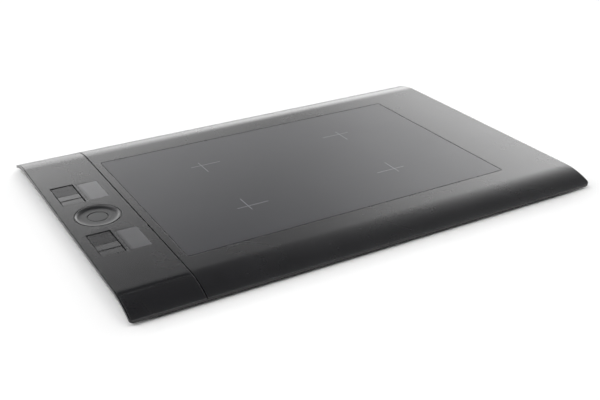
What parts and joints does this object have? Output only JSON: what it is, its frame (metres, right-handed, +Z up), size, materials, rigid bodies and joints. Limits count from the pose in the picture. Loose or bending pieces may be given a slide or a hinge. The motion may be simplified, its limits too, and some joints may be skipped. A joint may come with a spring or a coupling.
{
  "type": "pen drawing tablet",
  "caption": "Large-format pen drawing tablet: flat drawing area with rolled front and back edges, shortcut keys, a finger ring with centre button, and USB inlets.",
  "frame": {"origin": "middle of the footprint, on the surface the tablet stands on", "axes": "+X along the long side, with the key strip at -X; +Y towards the back; +Z up"},
  "size_m": [0.4748, 0.3208, 0.014],
  "materials": {
    "case_black": "fine moulded texture",
    "cover_black": "satin moulded",
    "drawing_surface": "fine-textured matt film",
    "key_black": "satin moulded",
    "plunger_plastic": "moulded",
    "ring_black": "satin to gloss, moulded",
    "circuit_board": "solder-masked glass-fibre board",
    "flex_film": "polyimide film",
    "ribbon_white": "flat cable insulation",
    "smoked_window": "smoked, polished",
    "display_glass": "dark display glass",
    "switch_black": "moulded",
    "light_guide": "clear moulded",
    "chip_black": "epoxy",
    "socket_cream": "moulded",
    "shield_steel": "tinned sheet",
    "inlet_steel": "plated shell",
    "screw_steel": "zinc plated",
    "foot_rubber": "matt"
  },
  "bodies": {
    "tablet": {"bottom_case": "case_black", "top_case": "cover_black", "drawing_sheet": "drawing_surface", "key_panel": "cover_black", "front_end_cap": "cover_black", "touch_ring": "ring_black", "ring_sensor": "circuit_board", "ring_lead": "flex_film", "rear_display_window": "smoked_window", "front_display_window": "smoked_window", "rear_label_display": "display_glass", "front_label_display": "display_glass", "display_leads": "flex_film", "key_board": "circuit_board", "push_switches": "switch_black", "mode_lights": "light_guide", "board_chips": "chip_black", "cable_sockets": "socket_cream", "shield_can": "shield_steel", "pen_sensor_board": "circuit_board", "shield_plate": "shield_steel", "sensor_cables": "ribbon_white", "rear_usb_inlet": "inlet_steel", "front_usb_inlet": "inlet_steel", "case_screws": "screw_steel", "board_screws": "screw_steel", "rubber_foot_1": "foot_rubber", "rubber_foot_2": "foot_rubber", "rubber_foot_3": "foot_rubber", "rubber_foot_4": "foot_rubber", "rubber_foot_5": "foot_rubber", "rubber_foot_6": "foot_rubber"},
    "key_1": {"shortcut_key_1": "key_black", "key_plunger_1": "plunger_plastic"},
    "key_2": {"shortcut_key_2": "key_black", "key_plunger_2": "plunger_plastic"},
    "key_3": {"shortcut_key_3": "key_black", "key_plunger_3": "plunger_plastic"},
    "key_4": {"shortcut_key_4": "key_black", "key_plunger_4": "plunger_plastic"},
    "key_5": {"shortcut_key_5": "key_black", "key_plunger_5": "plunger_plastic"},
    "key_6": {"shortcut_key_6": "key_black", "key_plunger_6": "plunger_plastic"},
    "key_7": {"shortcut_key_7": "key_black", "key_plunger_7": "plunger_plastic"},
    "key_8": {"shortcut_key_8": "key_black", "key_plunger_8": "plunger_plastic"},
    "centre_button": {"ring_button": "ring_black", "button_plunger": "plunger_plastic"},
    "inlet_cover": {"inlet_cover": "case_black"}
  },
  "joints": [
    {"name": "key_1_press", "type": "slide", "parent": "tablet", "child": "key_1", "axis": [0, 0, -1], "range_m": [0, 0.0006], "stiffness_N_per_m": 1500, "springref_m": -0.0001},
    {"name": "key_2_press", "type": "slide", "parent": "tablet", "child": "key_2", "axis": [0, 0, -1], "range_m": [0, 0.0006], "stiffness_N_per_m": 1500, "springref_m": -0.0001},
    {"name": "key_3_press", "type": "slide", "parent": "tablet", "child": "key_3", "axis": [0, 0, -1], "range_m": [0, 0.0006], "stiffness_N_per_m": 1500, "springref_m": -0.0001},
    {"name": "key_4_press", "type": "slide", "parent": "tablet", "child": "key_4", "axis": [0, 0, -1], "range_m": [0, 0.0006], "stiffness_N_per_m": 1500, "springref_m": -0.0001},
    {"name": "key_5_press", "type": "slide", "parent": "tablet", "child": "key_5", "axis": [0, 0, -1], "range_m": [0, 0.0006], "stiffness_N_per_m": 1500, "springref_m": -0.0001},
    {"name": "key_6_press", "type": "slide", "parent": "tablet", "child": "key_6", "axis": [0, 0, -1], "range_m": [0, 0.0006], "stiffness_N_per_m": 1500, "springref_m": -0.0001},
    {"name": "key_7_press", "type": "slide", "parent": "tablet", "child": "key_7", "axis": [0, 0, -1], "range_m": [0, 0.0006], "stiffness_N_per_m": 1500, "springref_m": -0.0001},
    {"name": "key_8_press", "type": "slide", "parent": "tablet", "child": "key_8", "axis": [0, 0, -1], "range_m": [0, 0.0006], "stiffness_N_per_m": 1500, "springref_m": -0.0001},
    {"name": "centre_button_press", "type": "slide", "parent": "tablet", "child": "centre_button", "axis": [0, 0, -1], "range_m": [0, 0.0005], "stiffness_N_per_m": 1500, "springref_m": -0.0001},
    {"name": "inlet_cover_slide", "type": "slide", "parent": "tablet", "child": "inlet_cover", "axis": [0, 1, 0], "range_m": [-0.024, 0.024]}
  ]
}
